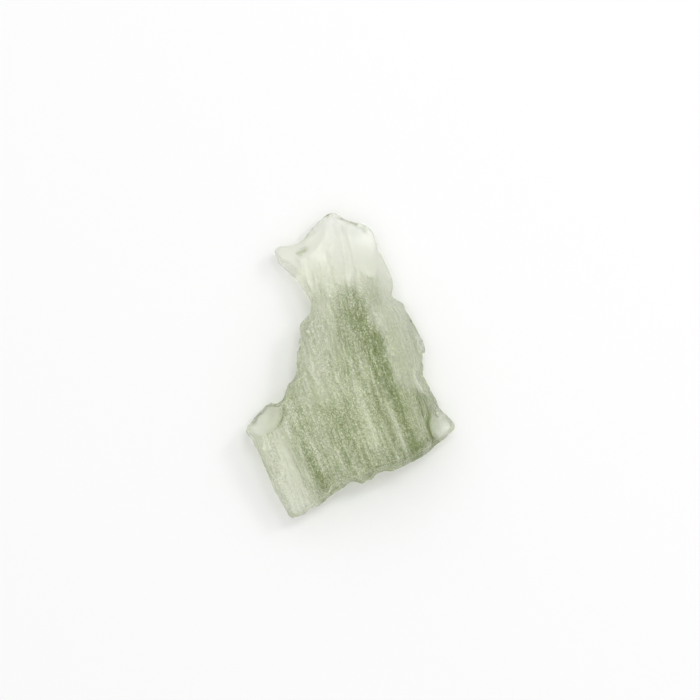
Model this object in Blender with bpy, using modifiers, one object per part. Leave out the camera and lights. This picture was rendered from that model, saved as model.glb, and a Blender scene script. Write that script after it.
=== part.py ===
"""A moldavite: one thin, fluted flake of natural green glass, lying on a small flat spot on its underside.

The flake is modelled the way it formed. A flat slab takes the outline of the stone, its two faces are
raised and hollowed by station heights, the flow of the once molten glass draws flutes and pits along it,
and curved scoops break chips out of its corners. Metres, +Z up, crown towards +Y. The origin is the
middle of the footprint, on the surface that the stone rests on.
"""

import bmesh
import bpy
import numpy as np
from mathutils import Vector, noise

MM = 0.001

# Driving sizes
LENGTH = 22.5 * MM  # from the tip of the crown to the toe of the foot
TRIANGLES = 8000  # of the finished stone
SLAB_VOXEL = 0.17 * MM  # grain of the slab that the faces are sculpted from
SLAB_HALF = 0.6 * MM

# The outline, seen from above, clockwise from the top of the crown, in millimetres at LENGTH 22.5.
CROWN = [
    (-1.69, 11.14), (-1.04, 11.25), (-0.14, 10.81), (0.43, 10.56), (0.92, 10.53), (1.33, 10.16),
    (1.74, 9.67), (2.15, 8.36), (2.88, 6.97), (3.18, 6.23), (3.18, 5.74), (3.05, 5.25),
]
RIGHT_SIDE = [
    (3.21, 4.88), (3.70, 4.71), (4.00, 4.44), (4.16, 3.95), (4.76, 2.97), (5.42, 1.74),
    (5.58, 0.96), (5.33, 0.68), (5.42, -0.14), (5.33, -0.63), (5.74, -1.36), (6.32, -2.43),
    (6.40, -2.83), (6.64, -3.24), (7.13, -3.65), (7.62, -4.22), (7.70, -4.55),
]
BROKEN_EDGE = [
    (7.46, -4.88), (7.13, -5.20), (6.64, -5.69), (6.08, -5.98), (5.92, -6.28), (5.01, -6.84),
    (3.70, -7.49), (3.05, -7.77), (2.56, -7.74), (2.07, -7.90), (1.74, -8.15), (1.58, -8.40),
    (1.17, -8.47), (0.86, -8.74), (0.51, -8.55), (0.02, -8.52), (-0.30, -8.80), (-0.63, -9.13),
    (-1.12, -9.37), (-1.61, -9.70), (-1.85, -10.02), (-2.34, -10.32), (-3.00, -10.51),
    (-3.16, -10.80),
]
FOOT = [
    (-3.82, -11.09), (-4.34, -11.25), (-4.63, -10.84), (-4.96, -10.19), (-5.37, -9.62),
    (-5.69, -9.04), (-6.18, -7.66), (-6.84, -6.27), (-7.25, -5.45), (-7.70, -4.80),
    (-7.61, -4.50), (-7.25, -4.06), (-6.84, -3.57), (-6.35, -3.00), (-5.86, -2.67),
    (-5.29, -2.75),
]
LEFT_SIDE = [
    (-4.88, -2.34), (-4.80, -1.94), (-4.55, -1.36), (-4.06, -0.79), (-3.93, -0.40),
    (-4.00, 0.10), (-3.90, 0.68), (-3.92, 1.10), (-3.74, 1.35), (-3.82, 1.70), (-3.68, 2.07),
    (-3.76, 2.64), (-3.62, 3.21), (-3.24, 3.46), (-3.00, 3.78), (-2.87, 4.19), (-2.92, 4.68),
    (-3.24, 5.25), (-4.06, 6.40), (-4.63, 6.89), (-5.20, 7.38), (-5.53, 8.03),
]
SPUR = [
    (-5.61, 8.44), (-5.29, 8.73), (-4.63, 8.77), (-3.90, 8.90), (-3.41, 9.26), (-3.08, 9.75),
    (-2.59, 10.32), (-2.10, 10.81),
]
OUTLINE = CROWN + RIGHT_SIDE + BROKEN_EDGE + FOOT + LEFT_SIDE + SPUR
OUTLINE_LENGTH = 22.5  # millimetres, of the points above
UNIT = LENGTH / OUTLINE_LENGTH

# Stations across the stone, all in millimetres: x, y, height of the upper face, height of the underside,
# foot and top of the side wall there, and how far in from the edge the faces round off.
STATIONS = [
    (-1.0, 10.4, 1.7, 0.9, 0.95, 1.35, 0.8),
    (1.2, 9.0, 1.45, 0.8, 0.85, 1.15, 0.8),
    (2.5, 7.6, 1.6, 0.6, 0.70, 1.15, 0.8),
    (-5.0, 8.2, 2.0, 0.8, 0.85, 1.55, 0.6),
    (-3.3, 7.0, 2.7, 0.6, 0.70, 2.00, 0.5),
    (-0.4, 7.0, 2.9, 0.5, 0.70, 1.90, 1.0),
    (2.2, 5.9, 2.7, 0.5, 0.60, 1.20, 1.0),
    (-0.4, 4.4, 3.6, 0.3, 0.50, 2.60, 0.8),
    (2.5, 3.3, 3.8, 0.3, 0.50, 1.30, 1.0),
    (-2.8, 1.9, 3.4, 0.3, 0.60, 2.70, 0.7),
    (0.3, 0.4, 4.0, -0.25, 0.50, 2.50, 0.8),
    (3.6, 0.4, 4.3, 0.2, 0.50, 1.30, 0.8),
    (1.4, -3.3, 4.6, -0.3, 0.50, 2.50, 0.8),
    (4.4, -4.0, 4.7, 0.0, 0.50, 1.60, 0.8),
    (6.7, -4.6, 3.6, 0.6, 0.70, 1.70, 0.5),
    (-2.9, -3.3, 3.7, -0.1, 0.40, 2.60, 0.7),
    (-6.5, -3.8, 3.2, 0.6, 0.70, 1.70, 0.3),
    (-4.8, -6.5, 3.1, 0.3, 0.50, 2.30, 0.35),
    (-4.0, -9.8, 2.7, 0.4, 0.60, 2.00, 0.35),
    (-0.4, -6.9, 4.1, 0.1, 0.40, 3.00, 0.5),
    (3.3, -6.5, 4.5, 0.1, 0.50, 3.20, 0.5),
]
STATION_REACH = 1.7  # how far a station's heights spread
ROUNDING_POWER = 2.2  # the faces bend down to the side wall faster with a larger power
# The side wall is furthest out along a line that wanders up and down it. Above and below that line it falls
# back by a share of its height, and noise hollows it further.
WALL_BULGE, WALL_HOLLOWS = 0.07, 0.40
WALL_WANDER, WANDER_LENGTH = 0.9, 2.6
HOLLOW_SIZE = (1.5, 1.1)  # along the wall and up it
WALL_FADE, MOST_INSET = 1.8, 0.6  # millimetres: how far in the faces follow the wall, and its deepest hollow
RIM_BLUR = 0.45  # millimetres over which the wall's direction turns at a corner of the outline

# Flow lines run down the stone and lean to the right: x + LEAN * y - BEND * y * y is the same all along one.
LEAN, BEND = 0.30, 0.00725
RIDGE_LINE = 3.0  # the flow line of the ridge where the fluted face meets the smooth right flank
RIDGE_BLEND = 0.9  # millimetres over which the relief of the fluted face dies out onto the flank
# The flank falls by FLANK_SLOPE * d + FLANK_ROLL * d ** FLANK_POWER, d millimetres beyond the ridge.
FLANK_SLOPE, FLANK_ROLL, FLANK_POWER = 0.25, 0.25, 2.4
# Broad troughs and swells along the flow: flow line, lower end, upper end, half width, depth. A swell's
# depth is below zero.
BANDS = [
    (-1.15, -1.5, 6.0, 0.80, 0.50),
    (-3.30, -7.5, -1.5, 0.55, 0.25),
    (0.95, -7.0, 2.0, 0.45, 0.22),
    (-6.90, -12.5, -4.5, 0.75, 0.55),
    (-5.15, -9.5, -3.5, 0.55, -0.35),
    (2.45, -8.5, 7.5, 0.60, -0.25),
]
BAND_FADE = 1.4  # millimetres over which a band fades out at its ends
FLUTES = [(1.15, 10.0, 0.30), (0.55, 6.0, 0.15)]  # width, length and depth of each size of flute
FLUTE_LAYER_STEP = 3.7  # keeps the sizes of flute from running along the same lines
PITS = (1.1, 0.11)  # spacing and depth of the pits etched between the flutes
PIT_STRETCH = 1.9  # length of a pit over its width
PIT_REACH = 0.55  # radius of a pit over the spacing
UNDER_RELIEF = 0.8  # share of the relief that the underside has
UPPER_FLUTES, UPPER_PITS, UNDER_FLUTES, UNDER_PITS, WALL_LAYER = 11.0, 5.0, 29.0, 17.0, 43.0  # noise layers
FLANK_RELIEF = 0.35  # share of the relief left on the smooth flank

# Curved fractures: each scoop is a ball, centre x, y, z and radius in millimetres, that breaks a chip out.
SCOOPS = {
    "corner_window": (7.3, -4.25, 3.0, 1.5),
    "foot_shelf": (-6.92, -3.25, 3.74, 1.96),
    "crown_left": (-4.66, 11.55, 6.92, 6.0),
    "crown_right": (3.5, 10.9, 8.85, 8.0),
    "edge_strip": (7.3, -0.3, 4.1, 2.75),
    "edge_nick": (5.9, 3.5, 3.4, 1.75),
    "toe_chip": (-2.2, -12.0, 4.2, 2.3),
    "under_foot": (-8.2, -7.9, -1.8, 3.6),
    "under_crown": (0.3, 11.9, -3.4, 4.9),
    "under_edge": (2.4, -10.0, -1.9, 3.6),
    "under_corner": (8.8, -2.4, -1.7, 3.3),
}
SCOOP_SMOOTHNESS = 5  # subdivisions of each ball


def clear_scene():
    for thing in list(bpy.data.objects):
        bpy.data.objects.remove(thing)


def collection(name):
    made = bpy.data.collections.new(name)
    bpy.context.scene.collection.children.link(made)
    return made


def glass_material():
    """Pale green natural glass, frosted by etching."""
    made = bpy.data.materials.new("moldavite_glass")
    made.use_nodes = True
    shader = made.node_tree.nodes["Principled BSDF"]
    shader.inputs["Base Color"].default_value = (0.44, 0.52, 0.28, 1)
    shader.inputs["Roughness"].default_value = 0.35
    shader.inputs["Metallic"].default_value = 0.0
    shader.inputs["IOR"].default_value = 1.49
    shader.inputs["Transmission Weight"].default_value = 0.7
    return made


def slab(parts):
    """The outline as a flat slab, remeshed into even small faces."""
    curve = bpy.data.curves.new("outline", "CURVE")
    curve.dimensions = "2D"
    curve.fill_mode = "BOTH"
    curve.extrude = SLAB_HALF
    spline = curve.splines.new("POLY")
    spline.points.add(len(OUTLINE) - 1)
    for point, (x, y) in zip(spline.points, OUTLINE):
        point.co = (x * UNIT, y * UNIT, 0, 1)
    spline.use_cyclic_u = True
    guide = bpy.data.objects.new("outline", curve)
    parts.objects.link(guide)
    evened = guide.modifiers.new("even", "REMESH")
    evened.mode = "VOXEL"
    evened.voxel_size = SLAB_VOXEL
    graph = bpy.context.evaluated_depsgraph_get()
    mesh = bpy.data.meshes.new_from_object(guide.evaluated_get(graph))
    stone = bpy.data.objects.new("moldavite", mesh)
    stone.matrix_world = guide.matrix_world
    parts.objects.link(stone)
    bpy.data.objects.remove(guide)
    return stone


def rim(points):
    """How far each point is from the outline, seen from above, and the way inwards from there."""
    corners = np.array(OUTLINE)
    ahead = np.roll(corners, -1, axis=0) - corners
    gaps = []
    for start, along in zip(corners, ahead):
        offset = points - start
        share = np.clip(offset @ along / (along @ along), 0, 1)
        gaps.append(np.linalg.norm(offset - share[:, None] * along, axis=1))
    gaps = np.array(gaps).T
    nearest = gaps.min(axis=1)
    to_the_right = np.stack([ahead[:, 1], -ahead[:, 0]], axis=1)
    inwards = np.exp((nearest[:, None] - gaps) / RIM_BLUR) @ to_the_right
    return nearest, inwards / np.linalg.norm(inwards, axis=1)[:, None]


def station_values(points):
    """The station heights and widths spread smoothly over the stone, one row for each point."""
    stations = np.array(STATIONS)
    gaps = np.linalg.norm(points[:, None, :] - stations[None, :, :2], axis=2)
    weights = np.exp(-0.5 * (gaps / STATION_REACH) ** 2) + 1e-9
    return weights @ stations[:, 2:] / weights.sum(axis=1)[:, None]


def flow_line(points):
    """The place of each point across the flow, in millimetres."""
    x, y = points.T
    return x + LEAN * y - BEND * y * y


def flutes(across, along, layer):
    """Round-bottomed flutes with sharp crests between them, drawn out along the flow."""
    depth = np.zeros(len(across))
    for size, (width, length, deep) in enumerate(FLUTES):
        depth += deep * np.array([
            abs(noise.noise(Vector((u / width, v / length, layer + FLUTE_LAYER_STEP * size))))
            for u, v in zip(across, along)
        ])
    return depth


def pits(across, along, layer):
    """Etched pits, longer along the flow than across it."""
    spacing, deep = PITS
    found = np.array([
        noise.voronoi(Vector((u / spacing, v / (PIT_STRETCH * spacing), layer)))[0][0]
        for u, v in zip(across, along)
    ])
    return deep * np.clip(1 - (found / PIT_REACH) ** 2, 0, 1)


def wall_inset(seen, share):
    """How far the side wall lies back from the outline at each point, as a share of the wall's height."""
    wide, tall = HOLLOW_SIZE
    widest = WALL_WANDER * np.array([
        noise.noise(Vector((x / WANDER_LENGTH, y / WANDER_LENGTH, WALL_LAYER))) for x, y in seen
    ])
    hollows = WALL_HOLLOWS * np.array([
        abs(noise.noise(Vector((x / wide, y / wide, WALL_LAYER + z / tall)))) for (x, y), z in zip(seen, share)
    ])
    return (WALL_BULGE + hollows) * (share - widest) ** 2


def band_depth(across, along):
    """How deep the broad troughs lie, less how high the swells stand."""
    depth = np.zeros(len(across))
    for line, low, high, half_width, deep in BANDS:
        inside = np.clip((along - low) / BAND_FADE, 0, 1) * np.clip((high - along) / BAND_FADE, 0, 1)
        depth += deep * inside * np.exp(-((across - line) / half_width) ** 2)
    return depth


def sculpt(stone):
    """Moves the slab's points up and down to the upper face and the underside, and hollows its wall."""
    mesh = stone.data
    places = np.empty(len(mesh.vertices) * 3)
    mesh.vertices.foreach_get("co", places)
    places = places.reshape(-1, 3) / UNIT
    seen = places[:, :2]
    share = np.clip(places[:, 2] * UNIT / SLAB_HALF, -1, 1)
    upper, under, wall_foot, wall_top, round_off = station_values(seen).T
    gap, inwards = rim(seen)
    depth_in = np.clip(gap / round_off, 0, 1)
    rounding = 1 - (1 - depth_in) ** ROUNDING_POWER
    across, along = flow_line(seen), seen[:, 1]

    past_ridge = across - RIDGE_LINE
    over = np.maximum(past_ridge, 0)
    upper = upper - band_depth(across, along) - FLANK_SLOPE * over - FLANK_ROLL * over ** FLANK_POWER
    upper = np.maximum(upper, wall_top)
    onto_flank = np.clip(past_ridge / RIDGE_BLEND + 0.5, 0, 1)
    upper_relief = (1 + (FLANK_RELIEF - 1) * onto_flank) * depth_in
    above = upper - upper_relief * (flutes(across, along, UPPER_FLUTES) + pits(across, along, UPPER_PITS))
    under_relief = UNDER_RELIEF * depth_in
    below = under + under_relief * (flutes(across, along, UNDER_FLUTES) + pits(across, along, UNDER_PITS))

    top = wall_top + (above - wall_top) * rounding
    foot = wall_foot + (below - wall_foot) * rounding
    height = foot + (top - foot) * 0.5 * (share + 1)
    inset = np.minimum(wall_inset(seen, share) * (wall_top - wall_foot), MOST_INSET)
    inset *= np.clip(1 - gap / WALL_FADE, 0, 1) ** 2
    places[:, :2] += inwards * inset[:, None]
    places[:, 2] = height
    mesh.vertices.foreach_set("co", (places * UNIT).ravel())
    mesh.update()


def ball(name, centre, radius, cutters):
    made = bpy.data.meshes.new(name)
    grown = bmesh.new()
    bmesh.ops.create_icosphere(grown, subdivisions=SCOOP_SMOOTHNESS, radius=radius)
    grown.to_mesh(made)
    grown.free()
    scoop = bpy.data.objects.new(name, made)
    scoop.location = centre
    scoop.display_type = "WIRE"
    scoop.hide_render = True
    cutters.objects.link(scoop)
    return scoop


def break_chips(stone, cutters):
    """Curved fractures at the corners and along the edges."""
    for name, (x, y, z, radius) in SCOOPS.items():
        chip = stone.modifiers.new(name, "BOOLEAN")
        chip.operation = "DIFFERENCE"
        chip.object = ball(name, Vector((x, y, z)) * UNIT, radius * UNIT, cutters)


def thin_out(stone):
    """Merges small faces where the surface is even, so that crests and chip edges keep theirs."""
    bpy.context.view_layer.update()
    graph = bpy.context.evaluated_depsgraph_get()
    dense = stone.evaluated_get(graph).to_mesh()
    dense.calc_loop_triangles()
    count = len(dense.loop_triangles)
    merged = stone.modifiers.new("thin_out", "DECIMATE")
    merged.ratio = min(1.0, TRIANGLES / count)
    merged.use_collapse_triangulate = True


def flatten_resting_spot(stone, cutters):
    """Cuts the lowest bulge of the underside off flat at height zero."""
    made = bpy.data.meshes.new("resting_plane")
    block = bmesh.new()
    bmesh.ops.create_cube(block, size=1.0)
    block.to_mesh(made)
    block.free()
    made.transform(((LENGTH * 2, 0, 0, 0), (0, LENGTH * 2, 0, 0), (0, 0, LENGTH, 0), (0, 0, 0, 1)))
    plane = bpy.data.objects.new("resting_plane", made)
    plane.location = (0, 0, -0.5 * LENGTH)
    plane.display_type = "WIRE"
    plane.hide_render = True
    cutters.objects.link(plane)
    cut = stone.modifiers.new("resting_spot", "BOOLEAN")
    cut.operation = "DIFFERENCE"
    cut.object = plane


def centre_on_footprint(stone):
    """Puts the middle of the footprint over the origin."""
    bpy.context.view_layer.update()
    graph = bpy.context.evaluated_depsgraph_get()
    corners = np.array(stone.evaluated_get(graph).bound_box)
    middle = (corners.min(axis=0) + corners.max(axis=0)) / 2
    stone.data.transform(((1, 0, 0, -middle[0]), (0, 1, 0, -middle[1]), (0, 0, 1, 0), (0, 0, 0, 1)))
    for scoop in bpy.data.collections["cutters"].objects:
        if scoop.name in SCOOPS:
            scoop.location.x -= middle[0]
            scoop.location.y -= middle[1]


def main():
    clear_scene()
    parts, cutters = collection("moldavite"), collection("cutters")
    stone = slab(parts)
    sculpt(stone)
    break_chips(stone, cutters)
    thin_out(stone)
    flatten_resting_spot(stone, cutters)
    centre_on_footprint(stone)
    stone.data.materials.clear()
    stone.data.materials.append(glass_material())


main()
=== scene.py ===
"""A moldavite on a pale ground: its etched surface, its green glass and the soft light it is seen in."""

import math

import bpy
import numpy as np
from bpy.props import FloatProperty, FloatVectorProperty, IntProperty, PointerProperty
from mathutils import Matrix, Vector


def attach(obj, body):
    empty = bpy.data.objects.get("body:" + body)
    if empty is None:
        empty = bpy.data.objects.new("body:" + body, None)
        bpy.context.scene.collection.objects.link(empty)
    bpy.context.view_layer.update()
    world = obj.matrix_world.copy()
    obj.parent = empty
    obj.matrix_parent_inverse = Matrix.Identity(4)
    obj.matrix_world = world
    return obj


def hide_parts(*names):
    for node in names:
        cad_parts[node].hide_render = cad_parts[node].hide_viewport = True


bl_info = {
    "name": "Moldavite",
    "version": (1, 0, 0),
    "blender": (4, 5, 0),
    "location": "3D View > Sidebar > Moldavite",
    "description": "Etches a flake of natural green glass, gives it its finish and lights it",
    "category": "Object",
}

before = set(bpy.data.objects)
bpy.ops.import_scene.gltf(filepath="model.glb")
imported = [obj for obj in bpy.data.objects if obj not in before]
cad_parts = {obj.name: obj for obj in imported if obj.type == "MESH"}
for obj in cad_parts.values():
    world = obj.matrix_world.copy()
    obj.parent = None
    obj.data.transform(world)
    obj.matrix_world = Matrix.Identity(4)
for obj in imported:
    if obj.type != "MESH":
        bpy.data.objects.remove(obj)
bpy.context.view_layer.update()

NODE = "moldavite"
MM = 0.001
JOIN_WITHIN = 0.0005 * MM  # corners of the solid's loose triangles that are closer than this are one

# Flow lines run down the stone and lean to the right: x + LEAN * y - BEND * y * y, in metres, is the same
# all along one. The fluted face ends at the ridge, and a smooth flank falls away beyond it.
LEAN = 0.30
BEND = 7.25
RIDGE_LINE = 3.0 * MM
RIDGE_BLEND = 0.9 * MM

# Curved fractures, as balls that break chips out of the stone: centre x, y, z and radius, in millimetres.
CHIPS = {
    "corner_window": (7.3, -4.25, 3.0, 1.5),
    "foot_shelf": (-6.92, -3.25, 3.74, 1.96),
    "crown_left": (-4.66, 11.55, 6.92, 6.0),
    "crown_right": (3.5, 10.9, 8.85, 8.0),
    "edge_strip": (7.3, -0.3, 4.1, 2.75),
    "edge_nick": (5.9, 3.5, 3.4, 1.75),
    "toe_chip": (-2.2, -12.0, 4.2, 2.3),
}
CHIP_OVERCUT = 0.03 * MM  # the ball is this much larger than the one of the solid, to leave a clean face
CHIP_BALL_DETAIL = 6
CHIP_REACH, CHIP_BLEND = 0.16, 0.08  # millimetres off the ball where a chip's face ends, and its soft edge
SHARP_ANGLE = math.radians(50)  # edges sharper than this aren't shaded smooth

# The fine relief: width, length and depth as shares of a flute's or a pit's size in the settings, then the
# layer of the pattern, so that no two are alike.
FLUTE_LAYERS = [(1.0, 9.0, 1.0, 3.0), (0.45, 4.0, 0.35, 7.0)]
PIT_LAYERS = [(1.0, 1.6, 1.0, 13.0), (0.5, 0.65, 0.5, 19.0)]
PIT_BLUR = 0.6
PIT_RADIUS = 0.62  # in cells of the pattern
NOISE_MIDDLE = 0.5
FLUTE_GAIN = 3.2  # brings the swing of the noise about its middle up to about 1
# The relief is shallower by these shares on the smooth flank, at the thin crown and underneath, and it fades
# out where the stone rests.
SMOOTH_FLANK, SMOOTH_CROWN, SMOOTH_UNDERSIDE = 0.7, 0.45, 0.4
UPWARD_GAIN = 3  # the share holds in full on the flank where the normal rises by a third or more
UNDERSIDE_TURN = 0.5  # and underneath where the normal falls by this much or more
REST_FADE = 0.05 * MM

# Etching frosted the stone unevenly. The frost fades out towards the thin crown and onto the smooth flank,
# and shade is painted onto the flank. On the foot the painted shade is negative, so only the deepest gaps
# between the grains are dark.
BODY_FROST, CROWN_FROST, FLANK_FROST, FOOT_FROST = 0.43, 0.0, 0.15, 0.38
FLANK_SHADE, FOOT_SHADE = 0.10, -0.37
NECK_LOW, NECK_TOP = 2.3 * MM, 8.2 * MM
FROST_EDGE, FROST_EDGE_BLEND = 2.6 * MM, 1.4 * MM
FOOT_LINE, FOOT_LINE_BLEND = -5.9 * MM, 0.6 * MM
FOOT_TOP, FOOT_TOP_BLEND = -3.5 * MM, 1.5 * MM
SMOOTH_END, SMOOTH_END_BLEND = 3.9 * MM, 1.0 * MM  # the flank is pitted again beyond this flow line
PITTED_AGAIN = 0.7  # how far it is
SIDE_TURN = -0.5  # the finish fades out down the side walls, and is gone where they face down by this much
CHIP_BARE = 0.9  # share of the finish that the chips lack
# Streaks along the flow: flow line, lower end, upper end and half width in millimetres, then how much
# frostier and how much deeper in painted shade than the rest they are, and how much more painted glint their
# grains get. Negative shade there paints light.
STREAKS = [
    (-0.75, -0.8, 5.5, 0.45, -0.22, -0.03, 0.0),
    (-3.00, -3.6, 8.0, 1.30, -0.20, -0.05, 0.0),
    (-6.90, -11.5, -4.8, 0.35, -0.10, -0.08, 0.0),
    (-5.10, -9.5, -5.0, 0.40, 0.15, 0.12, 0.0),
    (-2.60, -9.0, -2.0, 0.50, 0.03, 0.03, 0.0),
    (1.40, 0.3, 6.6, 0.80, 0.12, 0.30, 0.0),
    (3.10, 3.4, 8.2, 0.60, 0.10, 0.20, 0.0),
    (2.70, -8.0, 3.4, 0.60, 0.12, 0.32, 0.0),
    (4.30, -8.0, -1.0, 1.00, 0.28, 0.10, 0.0),
    (1.90, -7.4, -2.2, 0.16, -0.28, -0.14, 1.0),
    (-5.70, -7.4, -4.4, 0.14, -0.28, -0.14, 1.0),
    (-3.12, -8.4, -5.2, 0.14, -0.28, -0.14, 1.0),
    (-0.05, -6.8, -0.2, 0.28, -0.18, -0.04, 0.4),
]
STREAK_FADE = 1.5  # millimetres over which a streak fades in and out at its ends
# Nicks and cracks look darker, and the last entry is painted shade over the lower right corner: x, y, half
# length and half width in millimetres, turn in degrees and depth of shade.
MARKS_AND_CORNER_SHADE = [
    (-1.70, 11.00, 0.22, 0.11, 20.0, 0.80),
    (0.42, 10.33, 0.50, 0.10, -28.0, 0.80),
    (-0.62, 10.70, 0.40, 0.08, -18.0, 0.50),
    (1.02, 9.92, 0.30, 0.08, -50.0, 0.40),
    (-3.42, 8.42, 0.30, 0.12, 28.0, 1.10),
    (-3.75, 8.20, 0.16, 0.10, -35.0, 0.80),
    (-2.70, 9.75, 0.50, 0.07, 42.0, 0.30),
    (4.42, 3.30, 0.12, 0.08, -60.0, 0.60),
    (4.75, -6.20, 1.20, 0.55, 28.0, 0.30),
]
PAINTED_EDGE_SHADE = {"corner_window": 1.10, "foot_shelf": 0.75}  # depth of painted shade along the edges of these chips
EDGE_WIDTH = 0.14  # width of that painted shade, in millimetres
EDGE_LOW, EDGE_HIGH = 0.5, 0.9  # that painted shade comes in between these heights above the ball's foot, in radii
WINDOW_FROST = 0.06

# Patterns of the frosted skin: width and length of a cell in millimetres, then the layer of the pattern.
PATCHES = (0.9, 3.0, 31.0)
FINE_STREAKS = (0.22, 5.0, 53.0)
SPECKS = (0.08, 0.11, 37.0)
DOTS = [(0.12, 0.17, 61.0), (0.085, 0.11, 67.0)]
LINES = (0.14, 2.0, 41.0)
GAP_LEVEL = 2.2  # how dark the skin is before its grains whiten it
DOT_WEIGHT, GLINT_WEIGHT = 2.0, 3.0  # how much a dot whitens the skin, and how much more where a glint is painted
DOT_HEIGHT, GLINT_HEIGHT, LINE_DEPTH = 1.0, 6.0, 0.6  # in bump depths, with a glinting dot's on top
FROST_GAIN = 4.0  # from a frost of a quarter on, the surface is as rough as the etched skin

# The photograph is 700 pixels wide. One pixel is this wide at the stone's rim, and the camera stands straight
# above the middle of the view.
PHOTO_PIXELS = 700
PIXEL = 0.0732 * MM
VIEW_MIDDLE = Vector((-0.02 * MM, 1.14 * MM))
RIM_HEIGHT = 1.5 * MM  # the outline is seen at about this height above the ground
SENSOR = 36.0  # width of the camera's sensor in millimetres

GROUND_SIZE = 4.0
GROUND_GAP = 0.02 * MM  # the ground is this far under the stone, so that their faces don't flicker
SKY_WAY = Vector((0.08, 0.30, 0.95)).normalized()  # the sky is brightest this way
SKY_DIM_AT, SKY_BRIGHT_AT = 0.15, 0.95  # cosines of the angle to that way
SKY_DIM = 0.45  # the dim parts shine at this share of the brightest
SEEN_SKY = 0.96  # how bright the camera sees the sky where the ground ends
KEY_PLACE, KEY_SIZE = (0.06, 0.13, 0.30), 0.06
# The broken face at the right of the crown mirrors a second light, to the right of the camera.
SIDE_PLACE, SIDE_SIZE = (0.17, 0.12, 0.215), 0.055


class StoneSettings(bpy.types.PropertyGroup):
    """Sizes of the fine relief that etching left on the stone."""

    grain: FloatProperty(
        name="Grain", description="Size of the even faces that the fine surface is modelled from",
        default=0.062 * MM, unit="LENGTH", precision=6)
    triangles: IntProperty(
        name="Triangles", description="Most triangles that the finished stone may have", default=190000)
    softening: IntProperty(
        name="Softening", description="Passes that round off the edges between the solid's faces", default=8)
    flute_spacing: FloatProperty(
        name="Flute spacing", description="Width of a fine flute along the flow",
        default=0.45 * MM, unit="LENGTH", precision=6)
    flute_depth: FloatProperty(
        name="Flute depth", description="Depth of a fine flute",
        default=0.12 * MM, unit="LENGTH", precision=6)
    pit_spacing: FloatProperty(
        name="Pit spacing", description="Distance between etched pits",
        default=0.42 * MM, unit="LENGTH", precision=6)
    pit_depth: FloatProperty(
        name="Pit depth", description="Depth of the deepest etched pits",
        default=0.09 * MM, unit="LENGTH", precision=6)


class GlassSettings(bpy.types.PropertyGroup):
    """The green glass and its frosted skin."""

    clearness: FloatVectorProperty(
        name="Clearness", description="Light that the glass lets through, as red, green and blue",
        default=(0.65, 0.738, 0.13), subtype="COLOR", min=0.0, max=1.0)
    depth_of_colour: FloatProperty(
        name="Depth of colour", description="How fast the glass darkens with thickness, per metre",
        default=120.0)
    refraction: FloatProperty(
        name="Refraction", description="Index of refraction of the glass", default=1.49)
    skin_roughness: FloatProperty(
        name="Skin roughness", description="Roughness of the etched skin", default=0.20,
        subtype="FACTOR", min=0.0, max=1.0)
    clear_roughness: FloatProperty(
        name="Clear roughness", description="Roughness of the skin where it is hardly frosted", default=0.27,
        subtype="FACTOR", min=0.0, max=1.0)
    bump_depth: FloatProperty(
        name="Bump depth", description="Depth of the finest lines and grains", default=0.006 * MM,
        unit="LENGTH", precision=6)
    gap_tint: FloatVectorProperty(
        name="Gap tint", description="Light left between the frosted grains, as red, green and blue",
        default=(0.22, 0.27, 0.115), subtype="COLOR", min=0.0, max=1.0)
    graininess: FloatProperty(
        name="Graininess", description="How much whiter single grains are than the gaps", default=1.0)
    streakiness: FloatProperty(
        name="Streakiness", description="How much grains crowd in fine streaks along the flow", default=2.4)
    patchiness: FloatProperty(
        name="Patchiness", description="How much grains crowd in patches", default=2.2)
    clear_share: FloatProperty(
        name="Clear share", description="Share of the light that goes through the skin instead of scattering",
        default=0.70, subtype="FACTOR", min=0.0, max=1.0)


class StudioSettings(bpy.types.PropertyGroup):
    """The pale ground, the soft light and the camera above the stone."""

    ground_colour: FloatVectorProperty(
        name="Ground colour", description="Colour of the ground that the stone lies on",
        default=(0.93, 0.93, 0.93), subtype="COLOR", min=0.0, max=1.0)
    sky_strength: FloatProperty(
        name="Sky strength", description="Light from straight above", default=1.11)
    key_power: FloatProperty(
        name="Key power", description="Power of the small light near the camera", default=0.12, unit="POWER")
    side_power: FloatProperty(
        name="Side power", description="Power of the small light on the right", default=0.09, unit="POWER")
    camera_height: FloatProperty(
        name="Camera height", description="How far the camera is above the stone's rim",
        default=0.30, unit="LENGTH")


class NodeDesk:
    """Adds nodes to one tree and joins them."""

    def __init__(self, tree):
        self.tree = tree
        tree.nodes.clear()

    def add(self, kind, inputs=None, **settings):
        node = self.tree.nodes.new(kind)
        for name, value in settings.items():
            setattr(node, name, value)
        for name, value in (inputs or {}).items():
            self.feed(node.inputs[name], value)
        return node

    def feed(self, socket, value):
        if isinstance(value, bpy.types.NodeSocket):
            self.tree.links.new(value, socket)
        else:
            socket.default_value = value

    def math(self, operation, first, second=0.0, clamp=False):
        made = self.add("ShaderNodeMath", {0: first, 1: second}, operation=operation, use_clamp=clamp)
        return made.outputs[0]

    def vector(self, operation, first, second):
        made = self.add("ShaderNodeVectorMath", {0: first, 1: second}, operation=operation)
        return made.outputs[0]

    def blend(self, low, high, share):
        """Goes from low to high as share goes from 0 to 1."""
        made = self.add("ShaderNodeMix", {0: share, 2: low, 3: high}, data_type="FLOAT")
        return made.outputs[0]


def flow_space(desk, place):
    """The place in the stone as across the flow, along it and height, all in millimetres."""
    parts = desk.add("ShaderNodeSeparateXYZ", {0: place}).outputs
    leaned = desk.math("MULTIPLY_ADD", parts[1], LEAN)
    desk.feed(leaned.node.inputs[2], parts[0])
    squared = desk.math("MULTIPLY", parts[1], parts[1])
    bent = desk.math("MULTIPLY", squared, BEND)
    across = desk.math("SUBTRACT", leaned, bent)
    joined = desk.add("ShaderNodeCombineXYZ", {0: across, 1: parts[1], 2: parts[2]}).outputs[0]
    scaled = desk.add("ShaderNodeVectorMath", {0: joined, "Scale": 1 / MM}, operation="SCALE")
    return scaled.outputs[0]


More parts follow.
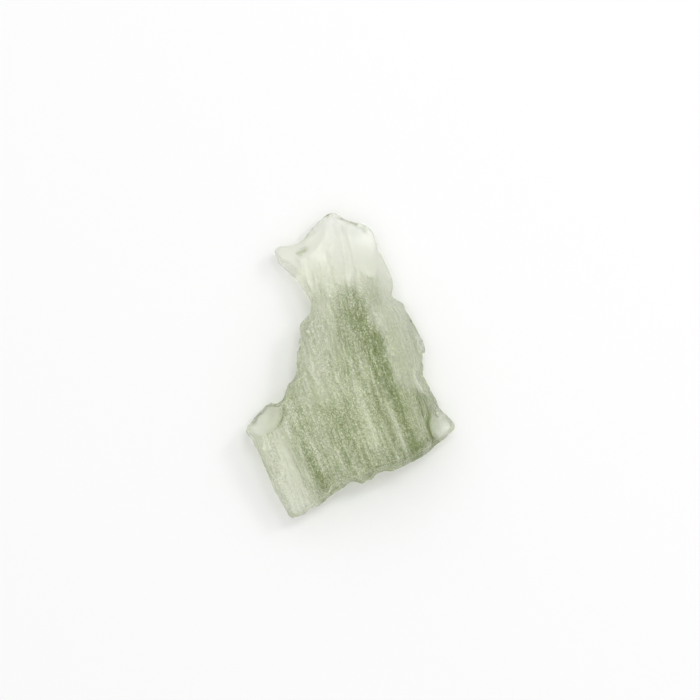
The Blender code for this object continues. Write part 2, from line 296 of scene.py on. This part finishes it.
def stretched(desk, flow, width, length, layer):
    """Flow space in cells of the given width and length, in millimetres, moved on to a fresh layer."""
    cells = desk.vector("MULTIPLY", flow, (1 / width, 1 / length, 1 / width))
    return desk.vector("ADD", cells, (layer, layer, layer))


def flutes(desk, flow, width, length, layer):
    """Round-bottomed grooves with sharp crests between them, from 0 on a crest to about 1."""
    cells = stretched(desk, flow, width, length, layer)
    found = desk.add("ShaderNodeTexNoise", {"Vector": cells, "Scale": 1.0, "Detail": 1.0}).outputs[0]
    swing = desk.math("SUBTRACT", found, NOISE_MIDDLE)
    return desk.math("MULTIPLY", desk.math("ABSOLUTE", swing), FLUTE_GAIN)


def noise(desk, flow, width, length, layer, detail):
    """Soft patches, evenly above and below NOISE_MIDDLE."""
    cells = stretched(desk, flow, width, length, layer)
    return desk.add("ShaderNodeTexNoise", {"Vector": cells, "Scale": 1.0, "Detail": detail}).outputs[0]


def pits(desk, flow, width, length, layer, blur=0.0):
    """Round pits of many depths, from 0 between them to 1 at the bottom of the deepest."""
    cells = stretched(desk, flow, width, length, layer)
    if blur:
        found = desk.add("ShaderNodeTexVoronoi", {
            "Vector": cells, "Scale": 1.0, "Smoothness": blur}, feature="SMOOTH_F1").outputs
    else:
        found = desk.add("ShaderNodeTexVoronoi", {"Vector": cells, "Scale": 1.0}).outputs
    squared = desk.math("POWER", desk.math("DIVIDE", found["Distance"], PIT_RADIUS), 2.0)
    bowl = desk.math("SUBTRACT", 1.0, squared, clamp=True)
    chance = desk.add("ShaderNodeSeparateXYZ", {0: found["Color"]}).outputs[0]
    return desk.math("MULTIPLY", bowl, chance)


def relief_modifier(stone, settings):
    """A modifier that etches flutes and pits into the surface, as deep as the relief attribute says."""
    tree = bpy.data.node_groups.new("etched_relief", "GeometryNodeTree")
    tree.interface.new_socket("Geometry", in_out="INPUT", socket_type="NodeSocketGeometry")
    tree.interface.new_socket("Geometry", in_out="OUTPUT", socket_type="NodeSocketGeometry")
    desk = NodeDesk(tree)
    given, result = desk.add("NodeGroupInput"), desk.add("NodeGroupOutput")
    flow = flow_space(desk, desk.add("GeometryNodeInputPosition").outputs[0])
    size = settings.flute_spacing / MM
    layers = [
        (flutes(desk, flow, width * size, length * size, layer), share * settings.flute_depth)
        for width, length, share, layer in FLUTE_LAYERS]
    size = settings.pit_spacing / MM
    layers += [
        (pits(desk, flow, width * size, length * size, layer, PIT_BLUR), share * settings.pit_depth)
        for width, length, share, layer in PIT_LAYERS]
    depth = 0.0
    for pattern, deep in layers:
        depth = desk.math("ADD", desk.math("MULTIPLY", pattern, deep), depth)
    share = desk.add("GeometryNodeInputNamedAttribute", {"Name": "relief"}, data_type="FLOAT").outputs[0]
    inward = desk.math("MULTIPLY", desk.math("MULTIPLY", depth, share), -1.0)
    normal = desk.add("GeometryNodeInputNormal").outputs[0]
    offset = desk.add("ShaderNodeVectorMath", {0: normal, "Scale": inward}, operation="SCALE").outputs[0]
    moved = desk.add("GeometryNodeSetPosition", {"Geometry": given.outputs[0], "Offset": offset})
    desk.feed(result.inputs[0], moved.outputs[0])
    stone.modifiers.new("etched_relief", "NODES").node_group = tree


def select_only(thing):
    bpy.ops.object.select_all(action="DESELECT")
    thing.select_set(True)
    bpy.context.view_layer.objects.active = thing


def apply_modifiers(thing):
    select_only(thing)
    for modifier in list(thing.modifiers):
        bpy.ops.object.modifier_apply(modifier=modifier.name)


def copy_of_node(name, piece_name):
    """A copy of a solid with its loose triangles joined up."""
    select_only(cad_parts[name])
    bpy.ops.object.duplicate()
    piece = bpy.context.object
    piece.name = piece_name
    bpy.ops.object.mode_set(mode="EDIT")
    bpy.ops.mesh.select_all(action="SELECT")
    bpy.ops.mesh.remove_doubles(threshold=JOIN_WITHIN)
    bpy.ops.object.mode_set(mode="OBJECT")
    return piece


def places_and_normals(stone):
    mesh = stone.data
    places = np.empty(len(mesh.vertices) * 3)
    normals = np.empty(len(mesh.vertices) * 3)
    mesh.vertices.foreach_get("co", places)
    mesh.vertices.foreach_get("normal", normals)
    return places.reshape(-1, 3), normals.reshape(-1, 3)


def chip_share(places, names=tuple(CHIPS)):
    """1 on the curved faces of the named chips, 0 elsewhere."""
    share = np.zeros(len(places))
    for x, y, z, radius in (CHIPS[name] for name in names):
        gap = np.abs(np.linalg.norm(places / MM - (x, y, z), axis=1) - radius)
        share = np.maximum(share, np.clip((CHIP_REACH - gap) / CHIP_BLEND, 0, 1))
    return share


def flow_line(places):
    """The place of each point across the flow, in metres."""
    x, y = places[:, 0], places[:, 1]
    return x + LEAN * y - BEND * y * y


def step(values, low, high):
    """Rises smoothly from 0 to 1 as the values go from low to high."""
    share = np.clip((values - low) / (high - low), 0, 1)
    return share * share * (3 - 2 * share)


def store(stone, name, values):
    stored = stone.data.attributes.get(name) or stone.data.attributes.new(name, "FLOAT", "POINT")
    stored.data.foreach_set("value", values)


def store_relief(stone):
    """How deep the fine relief is, from 1 on the body to 0 on the chips and the resting spot."""
    places, normals = places_and_normals(stone)
    across = flow_line(places)
    onto_flank = step(across, RIDGE_LINE - RIDGE_BLEND / 2, RIDGE_LINE + RIDGE_BLEND / 2)
    onto_flank *= 1 - PITTED_AGAIN * step(across - SMOOTH_END, -SMOOTH_END_BLEND / 2, SMOOTH_END_BLEND / 2)
    relief = 1 - SMOOTH_FLANK * onto_flank * np.clip(normals[:, 2] * UPWARD_GAIN, 0, 1)
    relief *= 1 - SMOOTH_CROWN * step(places[:, 1], NECK_LOW, NECK_TOP)
    relief *= 1 - SMOOTH_UNDERSIDE * step(-normals[:, 2], 0.0, UNDERSIDE_TURN)
    relief *= 1 - chip_share(places)
    relief *= np.clip(places[:, 2] / REST_FADE, 0, 1)
    store(stone, "relief", relief)


def store_frost_and_painted_light(stone):
    """How frosted the upper faces are, how deep the shade painted on them is, and where glints are painted on
    them. The underside stays clear.
    """
    places, normals = places_and_normals(stone)
    across, along = flow_line(places), places[:, 1]
    to_crown = step(along, NECK_LOW, NECK_TOP)
    frost = BODY_FROST + (CROWN_FROST - BODY_FROST) * to_crown
    on_foot = step(FOOT_LINE - across, -FOOT_LINE_BLEND / 2, FOOT_LINE_BLEND / 2)
    on_foot *= step(FOOT_TOP - along, 0, FOOT_TOP_BLEND)
    frost += (FOOT_FROST - frost) * on_foot
    onto_flank = step(across - FROST_EDGE, -FROST_EDGE_BLEND / 2, FROST_EDGE_BLEND / 2)
    frost += (FLANK_FROST * (1 - to_crown) - frost) * onto_flank
    # Painted shade on the flank; on the foot the shade is negative, so only the deepest gaps stay dark.
    shade = FLANK_SHADE * onto_flank * (1 - to_crown) + FOOT_SHADE * on_foot
    painted_glints = np.zeros(len(places))
    for line, low, high, half_width, more_frost, more_shade, more_glints in STREAKS:
        inside = step(along / MM - low, 0, STREAK_FADE) * step(high - along / MM, 0, STREAK_FADE)
        inside *= np.exp(-((across / MM - line) / half_width) ** 2)
        frost += more_frost * inside
        shade += more_shade * inside
        painted_glints += more_glints * inside
    upper = step(normals[:, 2], SIDE_TURN, 0.0)
    off_chips = upper * (1 - CHIP_BARE * chip_share(places))
    in_window = WINDOW_FROST * chip_share(places, ["corner_window"])
    store(stone, "frost", np.clip(frost, 0, 1) * off_chips + in_window)
    # The shade attribute holds the painted shade together with the darker nicks and cracks.
    store(stone, "shade", np.clip(shade * off_chips + marks_and_painted_shade(places) * upper, -1, 1))
    store(stone, "painted_glints", painted_glints * off_chips)


def marks_and_painted_shade(places):
    """How dark the nicks and the cracks make each point, with the painted shade over the lower right corner
    and along the edges of two chips.
    """
    depth = np.zeros(len(places))
    for x, y, half_length, half_width, turn, shade in MARKS_AND_CORNER_SHADE:
        right, up = places[:, 0] / MM - x, places[:, 1] / MM - y
        cosine, sine = math.cos(math.radians(turn)), math.sin(math.radians(turn))
        along_mark, over_mark = right * cosine + up * sine, up * cosine - right * sine
        depth += shade * np.exp(-(along_mark / half_length) ** 2 - (over_mark / half_width) ** 2)
    # Painted shade along the edges of two chips.
    for name, shade in PAINTED_EDGE_SHADE.items():
        x, y, z, radius = CHIPS[name]
        gap = np.linalg.norm(places / MM - (x, y, z), axis=1) - radius
        rising = step(places[:, 2] / MM - z + radius, EDGE_LOW * radius, EDGE_HIGH * radius)
        depth += shade * rising * np.exp(-((gap - EDGE_WIDTH) / EDGE_WIDTH) ** 2)
    return depth


def combine(thing, other, operation):
    """Joins another closed shape to a thing, or cuts it out of it, and removes the other."""
    combined = thing.modifiers.new(other.name, "BOOLEAN")
    combined.operation = operation
    combined.solver = "MANIFOLD"
    combined.object = other
    apply_modifiers(thing)
    select_only(other)
    bpy.ops.object.delete()


def break_chips(stone):
    """Cuts the curved fractures again, crisp and smooth."""
    balls = []
    for name, (x, y, z, radius) in CHIPS.items():
        bpy.ops.object.select_all(action="DESELECT")
        bpy.ops.mesh.primitive_ico_sphere_add(
            subdivisions=CHIP_BALL_DETAIL, radius=radius * MM + CHIP_OVERCUT,
            location=(x * MM, y * MM, z * MM))
        bpy.context.object.name = name
        balls.append(bpy.context.object)
    for ball in balls[1:]:
        combine(balls[0], ball, "UNION")
    combine(stone, balls[0], "DIFFERENCE")


def glass_material(settings):
    """Pale green natural glass: clear inside, frosted with whitish grains, smooth on its chips, with painted
    shade and painted glints in its colour.
    """
    made = bpy.data.materials.new("etched_green_glass")
    made.use_nodes = True
    desk = NodeDesk(made.node_tree)
    flow = flow_space(desk, desk.add("ShaderNodeTexCoord").outputs["Object"])
    frost = desk.add("ShaderNodeAttribute", attribute_name="frost").outputs["Fac"]
    shade = desk.add("ShaderNodeAttribute", attribute_name="shade").outputs["Fac"]
    relief = desk.add("ShaderNodeAttribute", attribute_name="relief").outputs["Fac"]
    painted_glints = desk.add("ShaderNodeAttribute", attribute_name="painted_glints").outputs["Fac"]

    # Gaps between the whitish grains darken the skin. They crowd in patches and in streaks along the flow.
    patches = desk.math("SUBTRACT", noise(desk, flow, *PATCHES, detail=3.0), NOISE_MIDDLE)
    streaks = desk.math("SUBTRACT", noise(desk, flow, *FINE_STREAKS, detail=2.0), NOISE_MIDDLE)
    specks = noise(desk, flow, *SPECKS, detail=1.0)
    dots = desk.math("MAXIMUM", *[pits(desk, flow, *cells) for cells in DOTS])
    # Dots whiten more where glints are painted.
    whitening = desk.math("ADD", desk.math("MULTIPLY", painted_glints, GLINT_WEIGHT), DOT_WEIGHT)
    bright_dots = desk.math("MULTIPLY", dots, whitening)
    grains = desk.math("MULTIPLY", desk.math("ADD", bright_dots, specks), settings.graininess)
    gaps = desk.math("SUBTRACT", GAP_LEVEL, grains)
    gaps = desk.math("SUBTRACT", gaps, desk.math("MULTIPLY", patches, settings.patchiness))
    gaps = desk.math("SUBTRACT", gaps, desk.math("MULTIPLY", streaks, settings.streakiness))
    # The shade attribute adds painted shade on top of the frosted gaps, and lightens them where it is
    # negative.
    dark = desk.math("ADD", desk.math("MULTIPLY", gaps, frost, clamp=True), shade, clamp=True)
    tint = desk.add("ShaderNodeMix", {
        0: dark, 6: (1.0, 1.0, 1.0, 1.0), 7: (*settings.gap_tint, 1.0)}, data_type="RGBA").outputs[2]

    lines = flutes(desk, flow, *LINES)
    # Where glints are painted, the dots also stand higher in the bump.
    sharpness = desk.math("ADD", desk.math("MULTIPLY", painted_glints, GLINT_HEIGHT), DOT_HEIGHT)
    sharp_dots = desk.math("MULTIPLY", dots, sharpness)
    height = desk.math("SUBTRACT", sharp_dots, desk.math("MULTIPLY", lines, LINE_DEPTH))
    bump = desk.add("ShaderNodeBump", {
        "Height": height, "Strength": relief, "Distance": settings.bump_depth}).outputs[0]

    frosted = desk.math("MULTIPLY", frost, FROST_GAIN, clamp=True)
    roughness = desk.blend(settings.clear_roughness, settings.skin_roughness, frosted)
    skin_shader = desk.add("ShaderNodeBsdfPrincipled", {
        "Base Color": tint, "Roughness": roughness, "Normal": bump,
        "IOR": settings.refraction, "Transmission Weight": settings.clear_share})
    inside = desk.add("ShaderNodeVolumeAbsorption", {
        "Color": (*settings.clearness, 1.0), "Density": settings.depth_of_colour})
    out = desk.add("ShaderNodeOutputMaterial")
    desk.feed(out.inputs["Surface"], skin_shader.outputs[0])
    desk.feed(out.inputs["Volume"], inside.outputs[0])
    return made


class AddStone(bpy.types.Operator):
    """Etch the stone's fine surface and give it its glass"""

    bl_idname = "moldavite.add_stone"
    bl_label = "Add Stone"
    bl_options = {"REGISTER", "UNDO"}

    def execute(self, context):
        settings = context.scene.moldavite_stone
        stone = copy_of_node(NODE, "moldavite_flake")
        even = stone.modifiers.new("even", "REMESH")
        even.mode = "VOXEL"
        even.voxel_size = settings.grain
        soft = stone.modifiers.new("soft", "SMOOTH")
        soft.factor = 0.5
        soft.iterations = settings.softening
        apply_modifiers(stone)
        store_relief(stone)
        relief_modifier(stone, settings)
        apply_modifiers(stone)
        break_chips(stone)
        self.thin_out(stone, settings.triangles)
        store_relief(stone)
        store_frost_and_painted_light(stone)
        stone.data.shade_smooth()
        stone.data.set_sharp_from_angle(angle=SHARP_ANGLE)
        stone.data.materials.clear()
        stone.data.materials.append(glass_material(context.scene.moldavite_glass))
        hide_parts(NODE)
        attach(stone, "root")
        return {"FINISHED"}

    def thin_out(self, stone, most):
        """Merges faces where the surface is even, down to the most triangles allowed."""
        stone.data.calc_loop_triangles()
        count = len(stone.data.loop_triangles)
        if count > most:
            fewer = stone.modifiers.new("fewer", "DECIMATE")
            fewer.ratio = most / count
            apply_modifiers(stone)


class AddStage(bpy.types.Operator):
    """Lay the pale ground, hang the soft light and set the camera straight above"""

    bl_idname = "moldavite.add_stage"
    bl_label = "Add Stage"
    bl_options = {"REGISTER", "UNDO"}

    def execute(self, context):
        settings = context.scene.moldavite_studio
        self.lay_ground(settings)
        self.light(context.scene, settings)
        self.place_camera(context.scene, settings)
        self.set_look(context.scene)
        return {"FINISHED"}

    def lay_ground(self, settings):
        bpy.ops.object.select_all(action="DESELECT")
        bpy.ops.mesh.primitive_plane_add(size=GROUND_SIZE, location=(0, 0, -GROUND_GAP))
        ground = bpy.context.object
        ground.name = "ground"
        paper = bpy.data.materials.new("pale_ground")
        paper.use_nodes = True
        shader = paper.node_tree.nodes["Principled BSDF"]
        shader.inputs["Base Color"].default_value = (*settings.ground_colour, 1.0)
        shader.inputs["Roughness"].default_value = 0.9
        shader.inputs["Specular IOR Level"].default_value = 0.2
        ground.data.materials.append(paper)

    def light(self, scene, settings):
        scene.world = self.sky(settings)
        self.hang("key_light", KEY_PLACE, KEY_SIZE, settings.key_power)
        self.hang("side_light", SIDE_PLACE, SIDE_SIZE, settings.side_power)

    def hang(self, name, place, size, power):
        """A square light that faces the stone."""
        bpy.ops.object.light_add(type="AREA", location=place)
        lamp = bpy.context.object
        lamp.name = name
        lamp.data.shape = "SQUARE"
        lamp.data.size = size
        lamp.data.energy = power
        lamp.rotation_euler = (Vector((0, 0, 0)) - lamp.location).to_track_quat("-Z", "Y").to_euler()

    def sky(self, settings):
        """A bright overhead sky that dims towards the horizon. The camera itself sees it plain."""
        world = bpy.data.worlds.new("sky")
        world.use_nodes = True
        desk = NodeDesk(world.node_tree)
        way = desk.add("ShaderNodeTexCoord").outputs["Generated"]
        towards = desk.add("ShaderNodeVectorMath", {0: way, 1: SKY_WAY}, operation="DOT_PRODUCT")
        bright = desk.add("ShaderNodeMapRange", {
            0: towards.outputs["Value"], 1: SKY_DIM_AT, 2: SKY_BRIGHT_AT, 3: SKY_DIM, 4: 1.0},
            interpolation_type="SMOOTHSTEP").outputs[0]
        seen = desk.add("ShaderNodeLightPath").outputs["Is Camera Ray"]
        strength = desk.blend(desk.math("MULTIPLY", bright, settings.sky_strength), SEEN_SKY, seen)
        background = desk.add("ShaderNodeBackground", {
            "Color": (1.0, 1.0, 1.0, 1.0), "Strength": strength})
        out = desk.add("ShaderNodeOutputWorld")
        desk.feed(out.inputs["Surface"], background.outputs[0])
        return world

    def place_camera(self, scene, settings):
        height = settings.camera_height
        bpy.ops.object.camera_add(location=(*VIEW_MIDDLE, RIM_HEIGHT + height), rotation=(0, 0, 0))
        camera = bpy.context.object
        camera.name = "camera"
        camera.data.sensor_width = SENSOR
        camera.data.lens = SENSOR * height / (PHOTO_PIXELS * PIXEL)
        camera.data.clip_start = MM
        scene.camera = camera

    def set_look(self, scene):
        scene.view_settings.view_transform = "Standard"
        scene.cycles.max_bounces = 24
        scene.cycles.transmission_bounces = 24
        scene.cycles.diffuse_bounces = 12
        scene.cycles.glossy_bounces = 16
        scene.cycles.blur_glossy = 0.0


class MoldavitePanel(bpy.types.Panel):
    """Settings and steps, in the order in which they run"""

    bl_idname = "VIEW3D_PT_moldavite"
    bl_label = "Moldavite"
    bl_space_type = "VIEW_3D"
    bl_region_type = "UI"
    bl_category = "Moldavite"

    def draw(self, context):
        scene = context.scene
        for group in (scene.moldavite_stone, scene.moldavite_glass):
            for name in group.__annotations__:
                self.layout.prop(group, name)
        self.layout.operator(AddStone.bl_idname)
        for name in scene.moldavite_studio.__annotations__:
            self.layout.prop(scene.moldavite_studio, name)
        self.layout.operator(AddStage.bl_idname)


CLASSES = (StoneSettings, GlassSettings, StudioSettings, AddStone, AddStage, MoldavitePanel)
SETTINGS = {
    "moldavite_stone": StoneSettings,
    "moldavite_glass": GlassSettings,
    "moldavite_studio": StudioSettings,
}


def register():
    for item in CLASSES:
        bpy.utils.register_class(item)
    for name, group in SETTINGS.items():
        setattr(bpy.types.Scene, name, PointerProperty(type=group))


def unregister():
    for name in SETTINGS:
        delattr(bpy.types.Scene, name)
    for item in reversed(CLASSES):
        bpy.utils.unregister_class(item)


def main():
    register()
    bpy.ops.moldavite.add_stone()
    bpy.ops.moldavite.add_stage()


if __name__ == "__main__":
    main()
